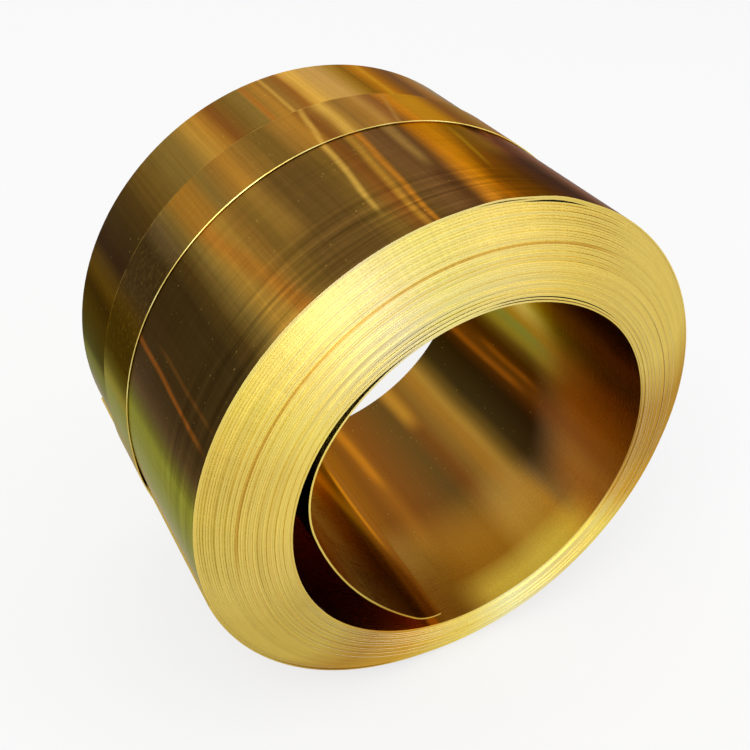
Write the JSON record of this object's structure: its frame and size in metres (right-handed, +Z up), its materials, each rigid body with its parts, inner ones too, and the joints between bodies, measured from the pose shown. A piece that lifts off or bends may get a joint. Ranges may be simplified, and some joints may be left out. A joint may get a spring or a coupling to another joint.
{
  "type": "coil of brass strip",
  "caption": "Coil of brass strip lying on its rim: turns show on its domed ends, the innermost turn springs loose into the open eye, and a thin brass band binds it.",
  "frame": {"origin": "on the floor under the middle of the coil, which lies on its rim", "axes": "+Y along the coil's axis, away from the end whose turns stand forward; +Z up; +X to the right seen from that end"},
  "size_m": [0.286, 0.1954, 0.286],
  "materials": {
    "strip": "bright rolled, slit edges",
    "band": "bright rolled, scuffed"
  },
  "bodies": {
    "root": {"coil": "strip", "binding_band": "band"}
  },
  "joints": []
}
